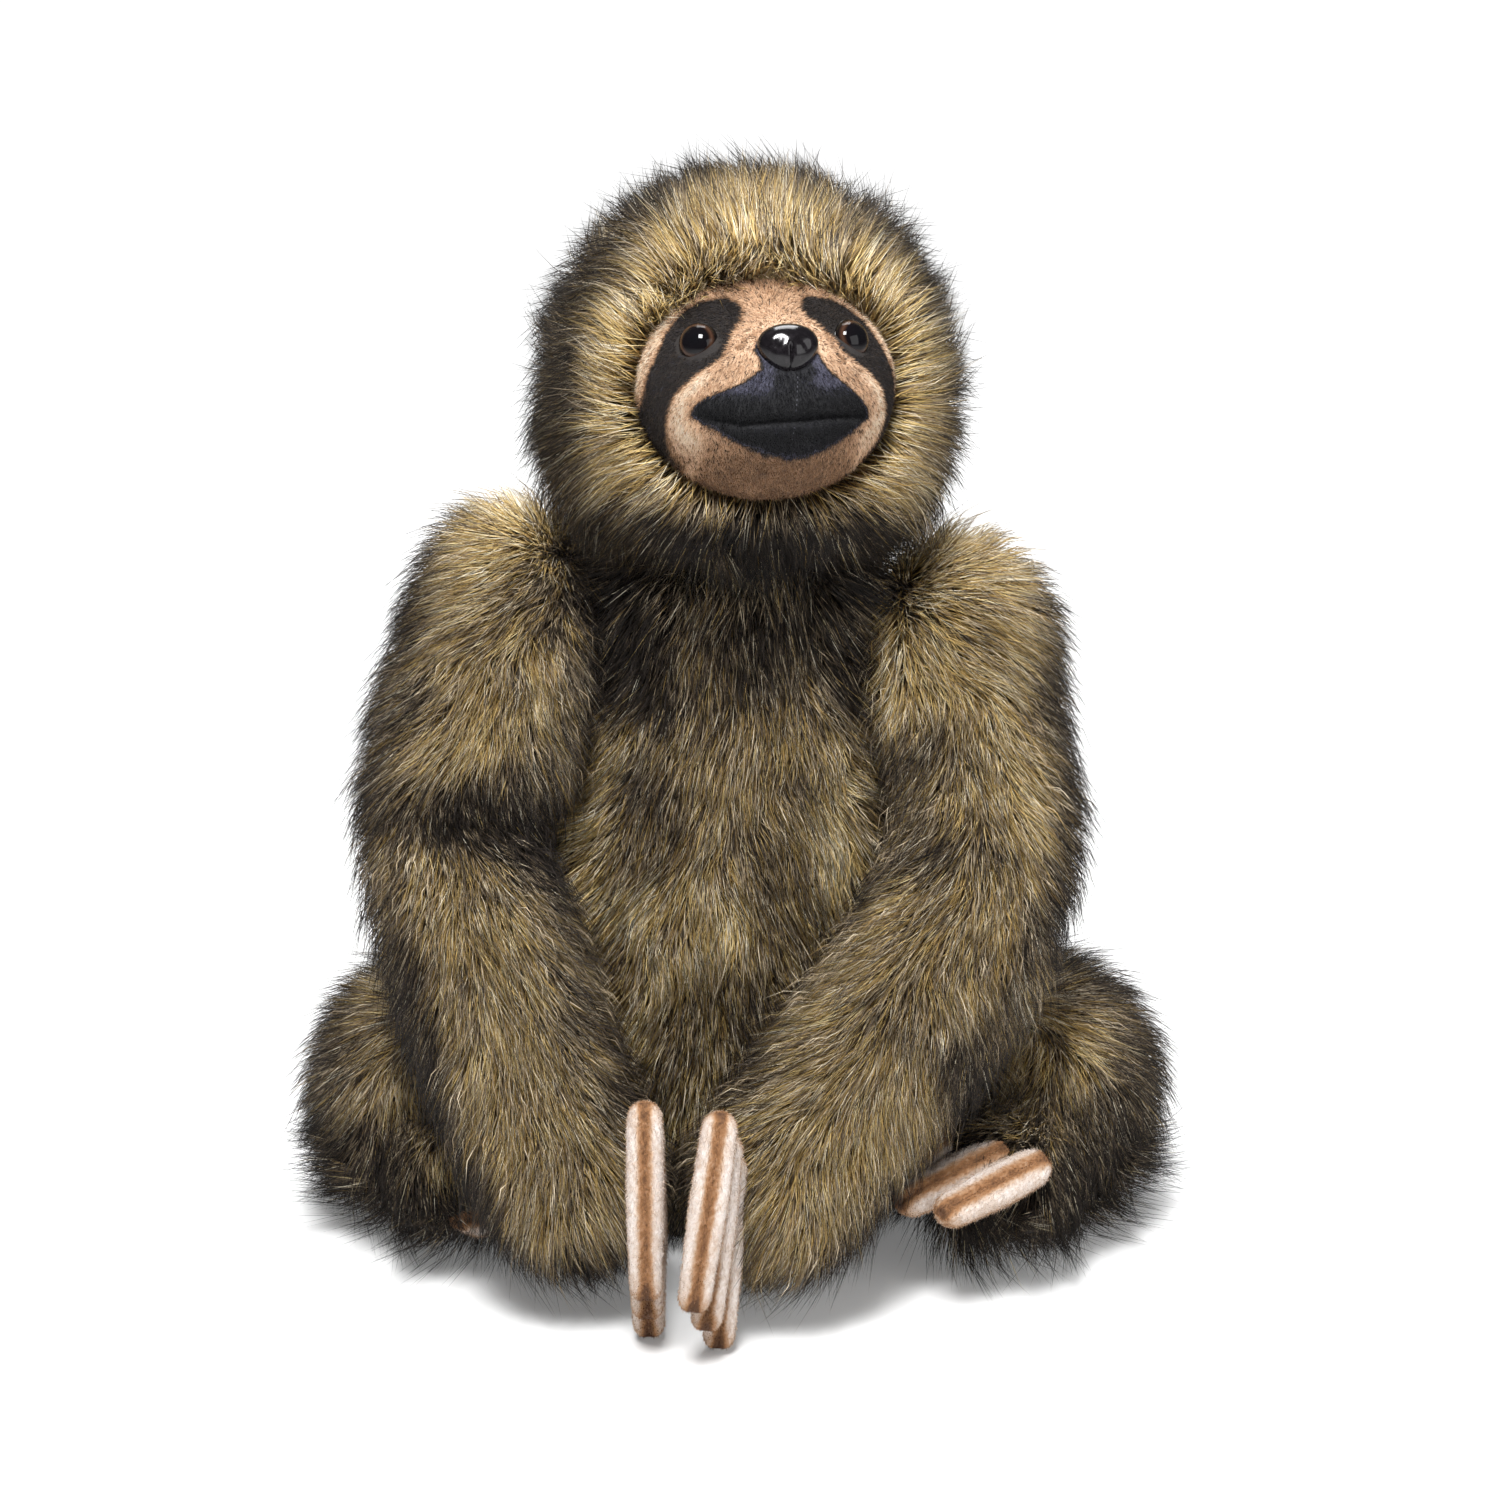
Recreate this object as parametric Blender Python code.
"""Plush sloth that sits with its hands on the floor in front of it.

Every sewn and stuffed piece is a closed solid of its own. The head turns on the
neck seam, the arms lift and turn, the fingers flex at the wrists and the legs swing
out at the hips. Lengths are in metres, +Z is up, the face looks along -Y, and the
origin is the middle of the seat panel's flat underside.
"""
import math

import bmesh
import bpy
from mathutils import Matrix, Vector

# Clearances
GAP = 0.0003
POST_CLEARANCE = 0.0004
CUT_OVERRUN = 0.02

# Seat
SEAT_WIDTH = 0.084
SEAT_DEPTH = 0.066
SEAT_THICKNESS = 0.004
POUCH_WIDTH = 0.060
POUCH_DEPTH = 0.052
POUCH_HEIGHT = 0.033
POUCH_SECTION_SHARES = ((0.0, 0.86), (0.12, 0.97), (0.3, 1.0), (0.6, 0.96), (0.85, 0.78), (1.0, 0.5))

# Torso
TORSO_RADIUS = 0.051
TORSO_HALF_FLAT = 0.012
NECK_HEIGHT = 0.238
TORSO_SECTION_SHARES = (
    (0.00, 0.80), (0.03, 0.87), (0.08, 0.93), (0.16, 0.975), (0.24, 0.995), (0.30, 1.00),
    (0.37, 0.99), (0.45, 0.965), (0.54, 0.925), (0.63, 0.875), (0.71, 0.83), (0.79, 0.785),
    (0.86, 0.74), (0.92, 0.70), (0.965, 0.65), (1.00, 0.58),
)

# Head
HEAD_WIDTH = 0.126
HEAD_DEPTH = 0.118
HEAD_HEIGHT = 0.116
HEAD_SIDE = 0.004
HEAD_FORWARD = 0.014
HEAD_RISE = 0.052
HEAD_SECTION_SHARES = (
    (-0.97, 0.42), (-0.90, 0.64), (-0.78, 0.80), (-0.62, 0.92), (-0.43, 0.98), (-0.22, 1.00),
    (0.00, 0.99), (0.22, 0.95), (0.43, 0.87), (0.62, 0.75), (0.78, 0.60), (0.90, 0.42),
    (0.97, 0.235),
)

# Face panel, in its own frame: across, up the face, and out of the face
FACE_WIDTH = 0.078
FACE_HEIGHT = 0.067
FACE_REACH = 0.0515
FACE_ASIDE = 0.004
FACE_AHEAD = 0.029
FACE_DROP = 0.003
FACE_YAW = math.radians(10)
FACE_PITCH = math.radians(25)
FACE_SECTION_SHARES = (
    # out of the face, half width, half height, middle up the face
    (0.00, 1.00, 1.00, -0.045),
    (0.14, 1.00, 1.00, -0.045),
    (0.27, 0.985, 0.985, -0.045),
    (0.40, 0.94, 0.90, -0.07),
    (0.52, 0.85, 0.78, -0.11),
    (0.64, 0.75, 0.66, -0.15),
    (0.75, 0.63, 0.54, -0.17),
    (0.85, 0.49, 0.42, -0.16),
    (0.93, 0.335, 0.29, -0.13),
    (0.98, 0.16, 0.15, -0.11),
)
FACE_TIP_SHARE = -0.105

# Eyes and nose, moulded with a post each
EYE_DIAMETER = 0.012
EYE_DOME = 0.0045
EYE_SPACING = 0.0456
EYE_UP = 0.0050
EYE_SEAT = 0.0300
EYE_SPLAY = math.radians(25)
NOSE_WIDTH = 0.0175
NOSE_HEIGHT = 0.0138
NOSE_DOME = 0.0075
NOSE_UP = -0.0035
NOSE_SEAT = 0.0485
POST_DIAMETER = 0.004
POST_LENGTH = 0.011
WASHER_DIAMETER = 0.011
WASHER_THICKNESS = 0.0016
WASHER_DEPTH = 0.0072

# Arms
SHOULDER_OUT = 0.070
SHOULDER_FORWARD = 0.004
SHOULDER_HEIGHT = 0.206
SHOULDER_LEAN = 0.005
SHOULDER_SEAT = 0.0445
SHOULDER_RADIUS = 0.033
SHOULDER_SWEEP = 0.035
ELBOW_OUT_LEFT = 0.090
ELBOW_OUT_RIGHT = 0.0835
ELBOW_FORWARD = 0.045
ELBOW_HEIGHT = 0.143
ELBOW_RADIUS_LEFT = 0.0330
ELBOW_RADIUS_RIGHT = 0.0295
UPPER_ARM_RADIUS_LEFT = 0.0335
UPPER_ARM_RADIUS_RIGHT = 0.0315
UPPER_ARM_SHARE = 0.62
PAW_X_LEFT = -0.0515
PAW_X_RIGHT = 0.0155
PAW_FORWARD_LEFT = 0.0875
PAW_FORWARD_RIGHT = 0.092
PAW_HEIGHT = 0.046
PAW_RADIUS = 0.028
FOREARM_RADIUS = 0.0298
ARM_STOP_SHARES = (0.0, 0.35, 1.0)
ELBOW_BEND_SHARE = 1.8
FOREARM_FALL_SHARE = 0.42

# Fingers
FINGER_WIDTH = 0.012
FINGER_DEPTH = 0.0092
FINGER_LENGTH = 0.066
FINGER_STEP = 0.0105
FINGER_LIFT = 0.0006
FINGER_BOW = 0.002
FINGER_SEAT_GAP = 0.0007
FINGER_AHEAD_LEFT = 0.0200
FINGER_AHEAD_RIGHT = 0.0235
FINGER_X_LEFT = -0.0262
FINGER_X_RIGHT = -0.0010
FINGER_STAGGER_RIGHT = 0.0015
FINGER_SLANT_RIGHT = 0.0035
FINGER_SPREAD_RIGHT = 0.0020
DIGIT_RADIUS_SHARES = (0.92, 1.0, 0.86)
DIGIT_STOP_SHARES = (0.0, 0.4, 1.0)

# Legs
THIGH_INNER = 0.030
KNEE_OUT = 0.098
THIGH_RADIUS = 0.042
KNEE_RADIUS = 0.0455
FLOOR_CUT = 0.0005
END_STOP_SHARES = (0.0, 1.0)
SHIN_START_OUT = 0.102
SHIN_START_FORWARD = 0.012
SHIN_RADIUS = 0.036
FOOT_OUT_LEFT = 0.090
FOOT_OUT_RIGHT = 0.086
FOOT_FORWARD_LEFT = 0.040
FOOT_FORWARD_RIGHT = 0.050
FOOT_HEIGHT = 0.032
FOOT_RADIUS = 0.026

# Toes
TOE_WIDTH = 0.0150
TOE_THICKNESS = 0.0134
TOE_LENGTH = 0.050
TOE_SHORTER_SHARES = (0.20, 0.0, 0.08)
TOE_TIP_OUT_LEFT = 0.064
TOE_TIP_OUT_RIGHT = 0.050
TOE_TIP_FORWARD_LEFT = 0.057
TOE_TIP_FORWARD_RIGHT = 0.090
TOE_TIP_HEIGHT_LEFT = 0.019
TOE_TIP_HEIGHT_RIGHT = 0.037
TOE_TURN = math.radians(55)
TOE_DROOP = math.radians(11)

# Mesh counts
TORSO_SIDES = 28
HEAD_SIDES = 28
FACE_SIDES = 32
LIMB_SIDES = 20
DIGIT_SIDES = 10
MOULDED_SIDES = 20
HOLE_SIDES = 24
CUTTER_SIDES = 48
DOME_STEPS = 5
UPPER_ARM_STEPS = 5
FOREARM_STEPS = 9
THIGH_STEPS = 7
SHIN_STEPS = 5
DIGIT_STEPS = 5
CAP_STEPS = 4

# Shading and finishes: a base colour and a roughness
SOFT_SHARP_ANGLE = math.radians(50)
MOULDED_SHARP_ANGLE = math.radians(35)
HOOD_FUR = ((0.32, 0.25, 0.12), 0.95)
BODY_FUR = ((0.17, 0.13, 0.09), 0.95)
ARM_FUR = ((0.28, 0.21, 0.11), 0.95)
LEG_FUR = ((0.27, 0.21, 0.12), 0.95)
LINING = ((0.55, 0.52, 0.46), 0.9)
FACE_PLUSH = ((0.62, 0.38, 0.24), 0.9)
FINGER_PLUSH = ((0.72, 0.50, 0.42), 0.9)
EYE_PLASTIC = ((0.045, 0.020, 0.010), 0.15)
NOSE_PLASTIC = ((0.012, 0.010, 0.010), 0.15)
WASHER_PLASTIC = ((0.80, 0.79, 0.76), 0.5)

SIDES = (("left", -1), ("right", 1))


def clear_scene():
    """Removes what the file holds, so that the script gives the same scene each time."""
    for old in list(bpy.data.objects):
        bpy.data.objects.remove(old, do_unlink=True)


def make_material(name, finish):
    """A Principled material of one colour and roughness."""
    colour, roughness = finish
    material = bpy.data.materials.new(name)
    material.use_nodes = True
    shader = material.node_tree.nodes["Principled BSDF"]
    shader.inputs["Base Color"].default_value = (*colour, 1.0)
    shader.inputs["Roughness"].default_value = roughness
    shader.inputs["Metallic"].default_value = 0.0
    material.diffuse_color = (*colour, 1.0)
    return material


def make_empty(name, place, parent=None):
    """An empty on a joint's axis, which carries the pieces that the joint moves."""
    empty = bpy.data.objects.new(name, None)
    bpy.context.collection.objects.link(empty)
    hang(empty, place, parent)
    return empty


def hang(item, place, parent):
    """Places an unturned object at a world point, under a parent that is unturned too."""
    item["world_place"] = list(place)
    item.location = place
    if parent is not None:
        item.parent = parent
        item.location = Vector(place) - Vector(parent["world_place"])


def make_piece(name, mesh_source, finish, parent, sharp_angle=SOFT_SHARP_ANGLE):
    """Turns a bmesh in world coordinates into a smooth-shaded object under its parent."""
    bmesh.ops.recalc_face_normals(mesh_source, faces=mesh_source.faces)
    origin = Vector(parent["world_place"])
    bmesh.ops.translate(mesh_source, verts=mesh_source.verts, vec=-origin)
    mesh = bpy.data.meshes.new(name)
    mesh_source.to_mesh(mesh)
    mesh_source.free()
    mesh.shade_smooth()
    mesh.set_sharp_from_angle(angle=sharp_angle)
    piece = bpy.data.objects.new(name, mesh)
    bpy.context.collection.objects.link(piece)
    hang(piece, origin, parent)
    mesh.materials.append(make_material(name, finish))
    return piece


def make_cutter(name, mesh_source):
    """A hidden solid in world coordinates that a Boolean takes away from a piece."""
    bmesh.ops.recalc_face_normals(mesh_source, faces=mesh_source.faces)
    mesh = bpy.data.meshes.new(name)
    mesh_source.to_mesh(mesh)
    mesh_source.free()
    cutter = bpy.data.objects.new(name, mesh)
    bpy.context.collection.objects.link(cutter)
    cutter.hide_render = True
    cutter.display_type = "WIRE"
    return cutter


def cut(piece, cutter):
    """Takes the cutter's volume away from the piece."""
    boolean = piece.modifiers.new(cutter.name, "BOOLEAN")
    boolean.operation = "DIFFERENCE"
    boolean.solver = "EXACT"
    boolean.object = cutter


def loft(rings, start_tip=None, end_tip=None):
    """Skins rings of points into one closed bmesh, with a tip point or a flat face at each end."""
    solid = bmesh.new()
    rows = [[solid.verts.new(point) for point in ring] for ring in rings]
    count = len(rings[0])
    for lower, upper in zip(rows, rows[1:]):
        for i in range(count):
            j = (i + 1) % count
            solid.faces.new((lower[i], lower[j], upper[j], upper[i]))
    for row, tip in ((rows[0], start_tip), (rows[-1], end_tip)):
        if tip is None:
            solid.faces.new(row)
            continue
        apex = solid.verts.new(tip)
        for i in range(count):
            solid.faces.new((row[i], row[(i + 1) % count], apex))
    return solid


def ellipse(centre, across, along, sides):
    """A ring of points whose half axes are two vectors."""
    turns = [2 * math.pi * i / sides for i in range(sides)]
    return [centre + across * math.cos(turn) + along * math.sin(turn) for turn in turns]


def stadium(centre, radius, half_flat, sides):
    """A ring of two half circles with short flats between them, at front and back."""
    ring = []
    for i in range(sides):
        turn = 2 * math.pi * (i + 0.5) / sides - math.pi / 2
        side = 1 if math.cos(turn) > 0 else -1
        offset = Vector((side * half_flat + radius * math.cos(turn), radius * math.sin(turn), 0))
        ring.append(centre + offset)
    return ring


def curve_point(start, handle_a, handle_b, end, t):
    """A point on a cubic Bezier curve."""
    s = 1 - t
    return start * s**3 + handle_a * (3 * s * s * t) + handle_b * (3 * s * t * t) + end * t**3


def curve_direction(start, handle_a, handle_b, end, t):
    """The direction of a cubic Bezier curve at a point."""
    s = 1 - t
    legs = (handle_a - start) * (s * s) + (handle_b - handle_a) * (2 * s * t) + (end - handle_b) * (t * t)
    return legs.normalized()


def straight(start, end):
    """A straight path between two points, as a Bezier curve's four points."""
    return (start, start.lerp(end, 1 / 3), start.lerp(end, 2 / 3), end)


def radius_at(values, stops, t):
    """A smooth value between the values at the stops."""
    for low, high, a, b in zip(stops, stops[1:], values, values[1:]):
        if t <= high:
            ease = (t - low) / (high - low)
            ease = ease * ease * (3 - 2 * ease)
            return a + (b - a) * ease
    return values[-1]


def stuffed_tube(path, radii, stops, sides, steps, flatten=1.0, round_start=True,
                 round_end=True, grow=0.0, wide_axis=None):
    """A stuffed limb: a curved path with a swelling round or flattened section.

    path is the four points of a Bezier curve. A rounded end is a half ball past the path's
    end. wide_axis is the direction of the wide half of a flattened section.
    """
    rows = []
    tips = [None, None]
    samples = [i / steps for i in range(steps + 1)]
    points = [curve_point(*path, t) for t in samples]
    tangents = [curve_direction(*path, t) for t in samples]
    wide = Vector(wide_axis) if wide_axis is not None else Vector((1, 0, 0))
    for index, (t, point, tangent) in enumerate(zip(samples, points, tangents)):
        wide = (wide - tangent * wide.dot(tangent)).normalized()
        thin = tangent.cross(wide)
        radius = radius_at(radii, stops, t) + grow
        ends = []
        if index == 0 and round_start:
            ends = [(-math.cos(a), math.sin(a)) for a in cap_turns()]
            tips[0] = point - tangent * radius
        if index == steps and round_end:
            ends = [(math.cos(a), math.sin(a)) for a in reversed(cap_turns())]
            tips[1] = point + tangent * radius
        if index == 0:
            rows += [ellipse(point + tangent * radius * c, wide * radius * s,
                             thin * radius * s * flatten, sides) for c, s in ends]
        rows.append(ellipse(point, wide * radius, thin * radius * flatten, sides))
        if index == steps:
            rows += [ellipse(point + tangent * radius * c, wide * radius * s,
                             thin * radius * s * flatten, sides) for c, s in ends]
    return loft(rows, *tips)


def cap_turns():
    """The angles of a rounded end's rings, from its tip to its rim."""
    return [math.pi / 2 * i / CAP_STEPS for i in range(1, CAP_STEPS)]


def box(corner, far_corner):
    """A box between two opposite corners."""
    solid = bmesh.new()
    bmesh.ops.create_cube(solid, size=1)
    size = [abs(far - near) for near, far in zip(corner, far_corner)]
    middle = (corner + far_corner) / 2
    bmesh.ops.transform(solid, matrix=Matrix.Translation(middle) @ Matrix.Diagonal((*size, 1)),
                        verts=solid.verts)
    return solid


def cylinder(centre, axis, radius, half_length):
    """A cylinder about an axis through its centre."""
    turn = Vector((0, 0, 1)).rotation_difference(axis).to_matrix()
    across = turn @ Vector((radius, 0, 0))
    along = turn @ Vector((0, radius, 0))
    offset = axis.normalized() * half_length
    return loft([ellipse(centre - offset, across, along, CUTTER_SIDES),
                 ellipse(centre + offset, across, along, CUTTER_SIDES)])


def ball(centre, radius):
    """A ball, as rings from pole to pole."""
    rings = []
    steps = CUTTER_SIDES // 2
    for i in range(1, steps):
        turn = math.pi * i / steps
        level = centre - Vector((0, 0, radius * math.cos(turn)))
        size = radius * math.sin(turn)
        rings.append(ellipse(level, Vector((size, 0, 0)), Vector((0, size, 0)), CUTTER_SIDES))
    pole = Vector((0, 0, radius))
    return loft(rings, centre - pole, centre + pole)


def face_frame():
    """The face panel's frame: X across, Y up the face, Z out of the face."""
    ahead = Vector((math.sin(FACE_YAW), -math.cos(FACE_YAW), 0))
    up = Vector((0, 0, 1))
    out = ahead * math.cos(FACE_PITCH) + up * math.sin(FACE_PITCH)
    rise = up * math.cos(FACE_PITCH) - ahead * math.sin(FACE_PITCH)
    across = rise.cross(out)
    frame = Matrix((across, rise, out)).transposed().to_4x4()
    frame.translation = head_centre() + Vector((FACE_ASIDE, -FACE_AHEAD, -FACE_DROP))
    return frame


def feature_frame(across, up, out, splay=0.0):
    """The frame of an eye or the nose on the face, turned outwards by its splay."""
    place = Matrix.Translation(Vector((across, up, out)))
    return face_frame() @ place @ Matrix.Rotation(splay, 4, "Y")


def feature_frames():
    """Each moulded feature's name, frame, half width, half height and dome."""
    eye = EYE_DIAMETER / 2
    half_spacing = EYE_SPACING / 2
    features = []
    for side, sign in SIDES:
        frame = feature_frame(sign * half_spacing, EYE_UP, EYE_SEAT, sign * EYE_SPLAY)
        features.append(("eye_" + side, frame, eye, eye, EYE_DOME))
    nose = feature_frame(0, NOSE_UP, NOSE_SEAT)
    features.append(("nose", nose, NOSE_WIDTH / 2, NOSE_HEIGHT / 2, NOSE_DOME))
    return features


def build_seat(root):
    """The flat base gusset and the pellet pouch above it."""
    low = Vector((0, 0, 0))
    high = Vector((0, 0, SEAT_THICKNESS))
    across = Vector((SEAT_WIDTH / 2, 0, 0))
    along = Vector((0, SEAT_DEPTH / 2, 0))
    rings = [ellipse(level, across, along, TORSO_SIDES) for level in (low, high)]
    make_piece("seat_panel", loft(rings), BODY_FUR, root)

    base = SEAT_THICKNESS + GAP
    rows = []
    for level_share, size_share in POUCH_SECTION_SHARES:
        centre = Vector((0, 0, base + POUCH_HEIGHT * level_share))
        rows.append(ellipse(centre, Vector((POUCH_WIDTH / 2 * size_share, 0, 0)),
                            Vector((0, POUCH_DEPTH / 2 * size_share, 0)), LIMB_SIDES))
    make_piece("pellet_pouch", loft(rows), LINING, root)


def build_torso(root):
    """The stuffed body, with shoulder seats and a pocket for the pellet pouch."""
    bottom = SEAT_THICKNESS + GAP
    height = NECK_HEIGHT - GAP - bottom
    rows = []
    for level_share, size_share in TORSO_SECTION_SHARES:
        centre = Vector((0, 0, bottom + height * level_share))
        rows.append(stadium(centre, TORSO_RADIUS * size_share, TORSO_HALF_FLAT, TORSO_SIDES))
    torso = make_piece("torso", loft(rows), BODY_FUR, root)

    pocket_top = bottom + POUCH_HEIGHT + GAP
    across = Vector((POUCH_WIDTH / 2 + GAP, 0, 0))
    along = Vector((0, POUCH_DEPTH / 2 + GAP, 0))
    levels = (Vector((0, 0, -CUT_OVERRUN)), Vector((0, 0, pocket_top)))
    rings = [ellipse(level, across, along, LIMB_SIDES) for level in levels]
    cut(torso, make_cutter("pouch_pocket", loft(rings)))

    for side, sign in SIDES:
        seat = shoulder_point(sign)
        seat.x = sign * (SHOULDER_SEAT - GAP + CUT_OVERRUN)
        radius = SHOULDER_RADIUS + SHOULDER_SWEEP
        cutter = cylinder(seat, Vector((1, 0, 0)), radius, CUT_OVERRUN)
        cut(torso, make_cutter("shoulder_seat_" + side, cutter))


def head_centre():
    """The middle of the stuffed head."""
    return Vector((HEAD_SIDE, -HEAD_FORWARD, NECK_HEIGHT + HEAD_RISE))


def build_head(neck):
    """The fur hood with a recess for the face, cut flat at the neck seam."""
    centre = head_centre()
    rows = []
    for level_share, size_share in HEAD_SECTION_SHARES:
        level = centre + Vector((0, 0, HEAD_HEIGHT / 2 * level_share))
        rows.append(ellipse(level, Vector((HEAD_WIDTH / 2 * size_share, 0, 0)),
                            Vector((0, HEAD_DEPTH / 2 * size_share, 0)), HEAD_SIDES))
    crown = Vector((0, 0, HEAD_HEIGHT / 2))
    hood = make_piece("head_hood", loft(rows, centre - crown, centre + crown), HOOD_FUR, neck)

    reach = Vector((HEAD_WIDTH, HEAD_DEPTH, 0))
    floor = Vector((centre.x, centre.y, NECK_HEIGHT))
    drop = Vector((0, 0, HEAD_HEIGHT))
    cut(hood, make_cutter("neck_plane", box(floor - reach - drop, floor + reach)))

    _, _, _, middle_share = FACE_SECTION_SHARES[0]
    across = Vector((FACE_WIDTH / 2 + GAP, 0, 0))
    along = Vector((0, FACE_HEIGHT / 2 + GAP, 0))
    rings = []
    for out in (-GAP, FACE_REACH + CUT_OVERRUN):
        middle = Vector((0, FACE_HEIGHT * middle_share, out))
        rings.append(ellipse(middle, across, along, FACE_SIDES))
    recess = loft(rings)
    bmesh.ops.transform(recess, matrix=face_frame(), verts=recess.verts)
    cut(hood, make_cutter("face_recess", recess))


def build_face(neck):
    """The printed face panel, with a seat, a post hole and a washer pocket for each feature."""
    rows = []
    for out_share, wide_share, high_share, middle_share in FACE_SECTION_SHARES:
        middle = Vector((0, FACE_HEIGHT * middle_share, FACE_REACH * out_share))
        rows.append(ellipse(middle, Vector((FACE_WIDTH / 2 * wide_share, 0, 0)),
                            Vector((0, FACE_HEIGHT / 2 * high_share, 0)), FACE_SIDES))
    tip = Vector((0, FACE_HEIGHT * FACE_TIP_SHARE, FACE_REACH))
    solid = loft(rows, None, tip)
    bmesh.ops.transform(solid, matrix=face_frame(), verts=solid.verts)
    face = make_piece("face", solid, FACE_PLUSH, neck)

    for name, frame, half_width, half_height, _ in feature_frames():
        hole = feature_hole(half_width + GAP, half_height + GAP, frame)
        cut(face, make_cutter(name + "_hole", hole))


def feature_hole(half_width, half_height, frame):
    """A feature's seat, the hole for its post and the pocket for its washer, as one solid."""
    post = POST_DIAMETER / 2 + POST_CLEARANCE
    washer = WASHER_DIAMETER / 2 + GAP
    pocket_top = GAP - WASHER_DEPTH
    pocket_base = -WASHER_DEPTH - WASHER_THICKNESS - GAP
    profile = (
        (post, post, -POST_LENGTH - GAP), (post, post, pocket_base), (washer, washer, pocket_base),
        (washer, washer, pocket_top), (post, post, pocket_top), (post, post, -GAP),
        (half_width, half_height, -GAP), (half_width, half_height, CUT_OVERRUN),
    )
    rings = [ellipse(Vector((0, 0, height)), Vector((wide, 0, 0)), Vector((0, high, 0)), HOLE_SIDES)
             for wide, high, height in profile]
    solid = loft(rings)
    bmesh.ops.transform(solid, matrix=frame, verts=solid.verts)
    return solid


def build_features(neck):
    """The moulded eyes and nose with their posts, and the washers that lock them."""
    for name, frame, half_width, half_height, dome in feature_frames():
        turns = [math.pi / 2 * i / DOME_STEPS for i in range(DOME_STEPS + 1)]
        outline = [(half_width * math.sin(turn), dome * math.cos(turn)) for turn in turns]
        squeeze = half_height / half_width
        post = POST_DIAMETER / 2
        rings = [ellipse(Vector((0, 0, height)), Vector((radius, 0, 0)),
                         Vector((0, radius * squeeze, 0)), MOULDED_SIDES) for radius, height in outline[1:]]
        for height in (0, -POST_LENGTH):
            rings.append(ellipse(Vector((0, 0, height)), Vector((post, 0, 0)),
                                 Vector((0, post, 0)), MOULDED_SIDES))
        solid = loft(rings, Vector((0, 0, dome)))
        bmesh.ops.transform(solid, matrix=frame, verts=solid.verts)
        finish = NOSE_PLASTIC if name == "nose" else EYE_PLASTIC
        make_piece(name, solid, finish, neck, MOULDED_SHARP_ANGLE)
        build_washer(name, frame, neck)


def build_washer(name, frame, neck):
    """A flat locking ring round a post."""
    inner = POST_DIAMETER / 2 + GAP
    outer = WASHER_DIAMETER / 2
    top = -WASHER_DEPTH
    bottom = top - WASHER_THICKNESS
    ring = bmesh.new()
    rows = []
    for radius, height in ((inner, bottom), (outer, bottom), (outer, top), (inner, top)):
        points = ellipse(Vector((0, 0, height)), Vector((radius, 0, 0)),
                         Vector((0, radius, 0)), MOULDED_SIDES)
        rows.append([ring.verts.new(frame @ point) for point in points])
    for lower, upper in zip(rows, rows[1:] + rows[:1]):
        for i in range(MOULDED_SIDES):
            j = (i + 1) % MOULDED_SIDES
            ring.faces.new((lower[i], lower[j], upper[j], upper[i]))
    make_piece(name + "_washer", ring, WASHER_PLASTIC, neck, MOULDED_SHARP_ANGLE)


def shoulder_point(sign):
    """A shoulder's centre. The body leans a little, so its left shoulder is higher."""
    return Vector((sign * SHOULDER_OUT, -SHOULDER_FORWARD, SHOULDER_HEIGHT - sign * SHOULDER_LEAN))


def elbow_point(sign):
    """The middle of the bend in an arm."""
    out = ELBOW_OUT_LEFT if sign < 0 else ELBOW_OUT_RIGHT
    return Vector((sign * out, -ELBOW_FORWARD, ELBOW_HEIGHT - sign * SHOULDER_LEAN))


def paw_point(sign):
    """The middle of the ball that ends a forearm."""
    x = PAW_X_LEFT if sign < 0 else PAW_X_RIGHT
    forward = PAW_FORWARD_LEFT if sign < 0 else PAW_FORWARD_RIGHT
    return Vector((x, -forward, PAW_HEIGHT))


def build_arm(side, sign, root):
    """An upper arm on its shoulder joint, and a bent forearm that turns on its end."""
    shoulder = shoulder_point(sign)
    elbow = elbow_point(sign)
    paw = paw_point(sign)
    down = (elbow - shoulder).normalized()
    seam = shoulder.lerp(elbow, UPPER_ARM_SHARE)
    shoulder_joint = make_empty("shoulder_" + side, shoulder, root)
    bend_radius = ELBOW_RADIUS_LEFT if sign < 0 else ELBOW_RADIUS_RIGHT
    arm_radius = UPPER_ARM_RADIUS_LEFT if sign < 0 else UPPER_ARM_RADIUS_RIGHT
    radii = (SHOULDER_RADIUS, arm_radius, bend_radius)
    tube = stuffed_tube(straight(shoulder, seam), radii, ARM_STOP_SHARES, LIMB_SIDES,
                        UPPER_ARM_STEPS, round_end=False)
    upper = make_piece("upper_arm_" + side, tube, ARM_FUR, shoulder_joint)
    reach = SHOULDER_RADIUS + CUT_OVERRUN
    inner = Vector((0, shoulder.y - reach, 0))
    outer = Vector((sign * SHOULDER_SEAT, shoulder.y + reach, NECK_HEIGHT + CUT_OVERRUN))
    cut(upper, make_cutter("shoulder_plane_" + side, box(inner, outer)))

    elbow_joint = make_empty("elbow_" + side, seam, shoulder_joint)
    start = seam + down * GAP
    bend = (elbow - start).length
    fall = paw - elbow
    path = (start, start + down * bend * ELBOW_BEND_SHARE, paw - fall * FOREARM_FALL_SHARE, paw)
    radii = (bend_radius, FOREARM_RADIUS, PAW_RADIUS)
    tube = stuffed_tube(path, radii, ARM_STOP_SHARES, LIMB_SIDES, FOREARM_STEPS, round_start=False)
    make_piece("forearm_" + side, tube, ARM_FUR, elbow_joint)

    wrist = make_empty("wrist_" + side, paw, elbow_joint)
    build_fingers(side, sign, wrist)


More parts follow.
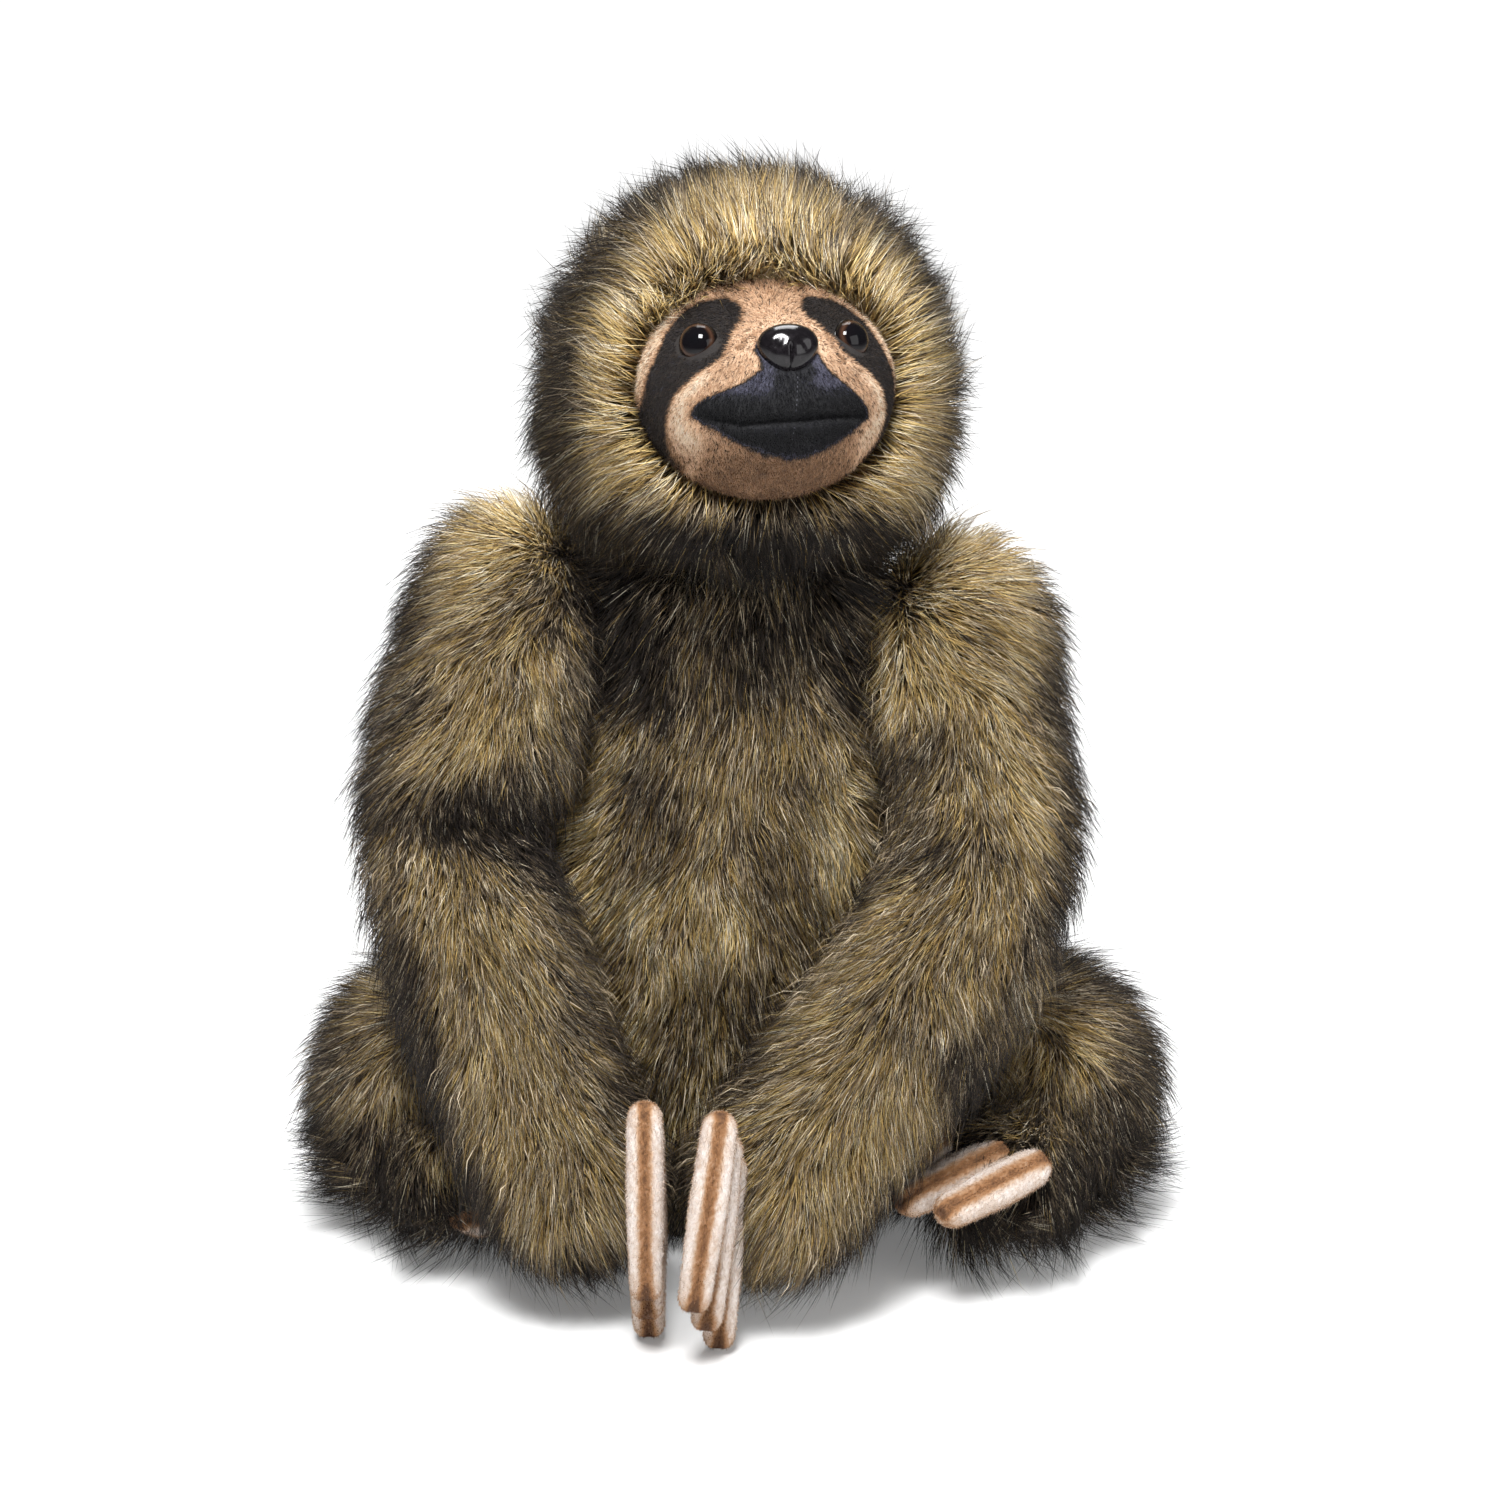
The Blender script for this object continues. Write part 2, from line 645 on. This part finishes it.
def build_fingers(side, sign, wrist):
    """Three stuffed fingers side by side, seated on the paw."""
    paw = paw_point(sign)
    seat = make_cutter("finger_seat_" + side, ball(paw, PAW_RADIUS + FINGER_SEAT_GAP))
    inner_x = FINGER_X_LEFT if sign < 0 else FINGER_X_RIGHT
    ahead = FINGER_AHEAD_LEFT if sign < 0 else FINGER_AHEAD_RIGHT
    stagger = 0 if sign < 0 else FINGER_STAGGER_RIGHT
    slant = 0 if sign < 0 else FINGER_SLANT_RIGHT
    spread = 0 if sign < 0 else FINGER_SPREAD_RIGHT
    half = FINGER_WIDTH / 2
    radii = [half * share for share in DIGIT_RADIUS_SHARES]
    for number, name in enumerate(("inner", "middle", "front")):
        y = paw.y - ahead - number * (FINGER_DEPTH + GAP)
        low = half + FINGER_LIFT + number * FINGER_STEP
        high = low + FINGER_LENGTH - FINGER_WIDTH
        root_x = inner_x - number * stagger
        tip_x = root_x - slant - number * spread
        root = Vector((root_x, y, high))
        tip = Vector((tip_x, y, low))
        bow = Vector((0, -FINGER_BOW, 0))
        path = (root, root.lerp(tip, 1 / 3) + bow, root.lerp(tip, 2 / 3) + bow, tip)
        tube = stuffed_tube(path, radii, DIGIT_STOP_SHARES, DIGIT_SIDES, DIGIT_STEPS,
                            flatten=FINGER_DEPTH / FINGER_WIDTH)
        finger = make_piece("finger_" + side + "_" + name, tube, FINGER_PLUSH, wrist)
        cut(finger, seat)


def thigh_tube(sign, grow=0.0):
    """The thigh, lying on the floor from the hip to the knee."""
    level = KNEE_RADIUS - FLOOR_CUT
    path = straight(Vector((sign * THIGH_INNER, 0, level)), Vector((sign * KNEE_OUT, 0, level)))
    return stuffed_tube(path, (THIGH_RADIUS, KNEE_RADIUS), END_STOP_SHARES, LIMB_SIDES, THIGH_STEPS,
                        grow=grow, wide_axis=(0, 1, 0))


def shin_tube(sign, grow=0.0):
    """The lower leg, from the knee to the rounded foot."""
    fore = FOOT_FORWARD_LEFT if sign < 0 else FOOT_FORWARD_RIGHT
    out = FOOT_OUT_LEFT if sign < 0 else FOOT_OUT_RIGHT
    start = Vector((sign * SHIN_START_OUT, -SHIN_START_FORWARD, SHIN_RADIUS - FLOOR_CUT))
    path = straight(start, Vector((sign * out, -fore, FOOT_HEIGHT)))
    return stuffed_tube(path, (SHIN_RADIUS, FOOT_RADIUS), END_STOP_SHARES, LIMB_SIDES, SHIN_STEPS,
                        grow=grow)


def build_leg(side, sign, root):
    """A folded leg: thigh, lower leg with its foot, and three toes, on one hip joint."""
    hip = make_empty("hip_" + side, Vector((sign * TORSO_HALF_FLAT, 0, 0)), root)
    hip_axis = Vector((sign * TORSO_HALF_FLAT, 0, NECK_HEIGHT / 2))
    up = Vector((0, 0, 1))
    reach = NECK_HEIGHT / 2 + CUT_OVERRUN
    barrel = make_cutter("hip_barrel_" + side, cylinder(hip_axis, up, TORSO_RADIUS + GAP, reach))
    floor = make_cutter("floor_" + side, floor_box(sign))
    thigh_seat = make_cutter("thigh_seat_" + side, thigh_tube(sign, GAP))
    toe_seat = make_cutter("toe_seat_" + side, shin_tube(sign, GAP))

    thigh = make_piece("thigh_" + side, thigh_tube(sign), LEG_FUR, hip)
    for cutter in (barrel, floor):
        cut(thigh, cutter)
    shin = make_piece("lower_leg_" + side, shin_tube(sign), LEG_FUR, hip)
    for cutter in (thigh_seat, barrel, floor):
        cut(shin, cutter)
    build_toes(side, sign, hip, (thigh_seat, toe_seat))


def floor_box(sign):
    """What lies under the floor, below one leg."""
    width = KNEE_OUT + KNEE_RADIUS + CUT_OVERRUN
    depth = KNEE_RADIUS + FOOT_FORWARD_RIGHT + FOOT_RADIUS
    return box(Vector((0, -depth, -CUT_OVERRUN)), Vector((sign * width, depth, 0)))


def build_toes(side, sign, hip, seats):
    """Three short toes side by side, pointing inwards."""
    out = TOE_TIP_OUT_LEFT if sign < 0 else TOE_TIP_OUT_RIGHT
    fore = TOE_TIP_FORWARD_LEFT if sign < 0 else TOE_TIP_FORWARD_RIGHT
    high = TOE_TIP_HEIGHT_LEFT if sign < 0 else TOE_TIP_HEIGHT_RIGHT
    half = TOE_WIDTH / 2
    radii = [half * share for share in DIGIT_RADIUS_SHARES]
    ahead = Vector((-sign * math.sin(TOE_TURN), -math.cos(TOE_TURN), -math.tan(TOE_DROOP))).normalized()
    beside = Vector((sign * math.cos(TOE_TURN), -math.sin(TOE_TURN), 0))
    for number, name in enumerate(("inner", "middle", "outer")):
        shift = beside * (number - 1) * (TOE_WIDTH + GAP)
        tip = Vector((sign * out, -fore, high)) + shift - ahead * half
        root = tip - ahead * (TOE_LENGTH - TOE_WIDTH)
        path = straight(root, tip - ahead * TOE_LENGTH * TOE_SHORTER_SHARES[number])
        tube = stuffed_tube(path, radii, DIGIT_STOP_SHARES, DIGIT_SIDES, DIGIT_STEPS,
                            flatten=TOE_THICKNESS / TOE_WIDTH, wide_axis=beside)
        toe = make_piece("toe_" + side + "_" + name, tube, FINGER_PLUSH, hip)
        for seat in seats:
            cut(toe, seat)


def build_sloth():
    """Builds every piece, from the seat up."""
    clear_scene()
    root = make_empty("sloth", Vector((0, 0, 0)))
    neck = make_empty("neck", Vector((HEAD_SIDE, 0, NECK_HEIGHT)), root)
    build_seat(root)
    build_torso(root)
    build_head(neck)
    build_face(neck)
    build_features(neck)
    for side, sign in SIDES:
        build_arm(side, sign, root)
        build_leg(side, sign, root)


build_sloth()
